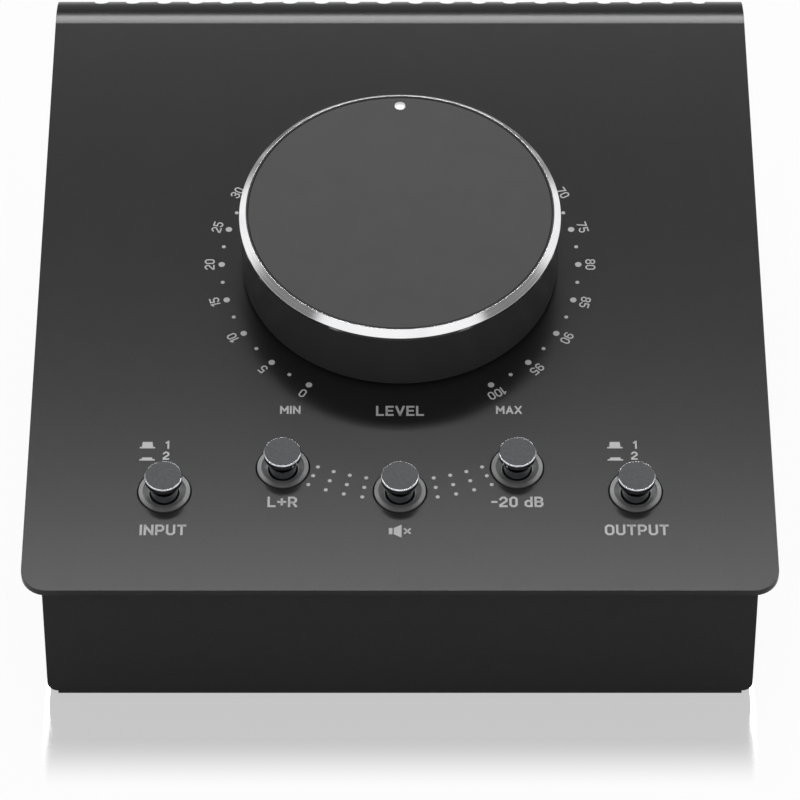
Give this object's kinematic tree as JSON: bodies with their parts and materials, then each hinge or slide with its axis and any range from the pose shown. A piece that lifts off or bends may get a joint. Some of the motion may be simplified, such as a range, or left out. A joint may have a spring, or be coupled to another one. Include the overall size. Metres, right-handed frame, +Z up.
{
  "type": "monitor controller",
  "caption": "Desktop studio monitor controller: sloping panel over a folded tray, one large volume knob, a row of push buttons, vented rear bend and jack sockets at the back.",
  "frame": {"origin": "middle of the footprint on the table", "axes": "+X to the user's right, +Y to the back where the sockets are, +Z up"},
  "size_m": [0.145, 0.1618, 0.072],
  "materials": {
    "cover_paint": "fine powder coat",
    "tray_paint": "fine powder coat",
    "rubber_feet": "matte",
    "zinc_steel": "zinc plated",
    "black_screws": "blackened",
    "knob_skirt": "black anodised, satin",
    "bright_trim": "polished",
    "knob_face": "grey anodised, fine satin",
    "turned_stud": "turned",
    "brass_bush": "turned",
    "button_cap": "dark bright plating",
    "bezel_metal": "satin",
    "switch_plastic": "moulded",
    "board_laminate": "solder resist",
    "capacitor_can": "sleeved",
    "ribbon_grey": "smooth",
    "black_plastic": "moulded"
  },
  "bodies": {
    "housing": {"top_cover": "cover_paint", "base_tray": "tray_paint", "rear_panel": "tray_paint", "front_foot_strip": "rubber_feet", "rear_foot_strip": "rubber_feet", "left_cover_bracket": "zinc_steel", "right_cover_bracket": "zinc_steel", "cover_screws": "black_screws", "rear_panel_screws": "black_screws", "control_board": "board_laminate", "control_board_standoffs": "zinc_steel", "control_board_screws": "zinc_steel", "rear_board": "board_laminate", "rear_board_spacers": "zinc_steel", "rear_board_screws": "zinc_steel", "capacitors": "capacitor_can", "ribbon_cable": "ribbon_grey", "ribbon_sockets": "black_plastic", "pot_body": "zinc_steel", "pot_bush": "brass_bush", "pot_washer": "zinc_steel", "pot_nut": "zinc_steel", "source_button_bezel": "bezel_metal", "mono_button_bezel": "bezel_metal", "mute_button_bezel": "bezel_metal", "dim_button_bezel": "bezel_metal", "monitor_button_bezel": "bezel_metal", "source_switch_body": "switch_plastic", "mono_switch_body": "switch_plastic", "mute_switch_body": "switch_plastic", "dim_switch_body": "switch_plastic", "monitor_switch_body": "switch_plastic", "input_1_left_jack": "black_plastic", "input_1_right_jack": "black_plastic", "input_2_left_jack": "black_plastic", "input_2_right_jack": "black_plastic", "output_1_left_jack": "black_plastic", "output_1_right_jack": "black_plastic", "output_2_left_jack": "black_plastic", "output_2_right_jack": "black_plastic", "jack_nuts": "zinc_steel", "dc_inlet": "black_plastic", "power_switch_body": "switch_plastic"},
    "volume_knob": {"knob_body": "knob_skirt", "knob_trim_ring": "bright_trim", "knob_top_disc": "knob_face", "knob_pointer_stud": "turned_stud", "knob_grub_screw": "black_screws", "pot_shaft": "zinc_steel"},
    "source_button": {"source_button_cap": "button_cap", "source_switch_plunger": "switch_plastic"},
    "mono_button": {"mono_button_cap": "button_cap", "mono_switch_plunger": "switch_plastic"},
    "mute_button": {"mute_button_cap": "button_cap", "mute_switch_plunger": "switch_plastic"},
    "dim_button": {"dim_button_cap": "button_cap", "dim_switch_plunger": "switch_plastic"},
    "monitor_button": {"monitor_button_cap": "button_cap", "monitor_switch_plunger": "switch_plastic"},
    "power": {"power_button": "black_plastic"}
  },
  "joints": [
    {"name": "volume_turn", "type": "hinge", "parent": "housing", "child": "volume_knob", "pos_m": [0, -0.00166, 0.04866], "axis": [0, -0.2292, 0.9734], "range_deg": [-150, 150]},
    {"name": "source_press", "type": "slide", "parent": "housing", "child": "source_button", "axis": [0, 0.2292, -0.9734], "range_m": [0, 0.0025], "stiffness_N_per_m": 800, "springref_m": -0.001},
    {"name": "mono_press", "type": "slide", "parent": "housing", "child": "mono_button", "axis": [0, 0.2292, -0.9734], "range_m": [0, 0.0025], "stiffness_N_per_m": 800, "springref_m": -0.001},
    {"name": "mute_press", "type": "slide", "parent": "housing", "child": "mute_button", "axis": [0, 0.2292, -0.9734], "range_m": [0, 0.0025], "stiffness_N_per_m": 800, "springref_m": -0.001},
    {"name": "dim_press", "type": "slide", "parent": "housing", "child": "dim_button", "axis": [0, 0.2292, -0.9734], "range_m": [0, 0.0025], "stiffness_N_per_m": 800, "springref_m": -0.001},
    {"name": "monitor_press", "type": "slide", "parent": "housing", "child": "monitor_button", "axis": [0, 0.2292, -0.9734], "range_m": [0, 0.0025], "stiffness_N_per_m": 800, "springref_m": -0.001},
    {"name": "power_press", "type": "slide", "parent": "housing", "child": "power", "axis": [0, -1, 0], "range_m": [0, 0.002], "stiffness_N_per_m": 800, "springref_m": -0.001}
  ]
}
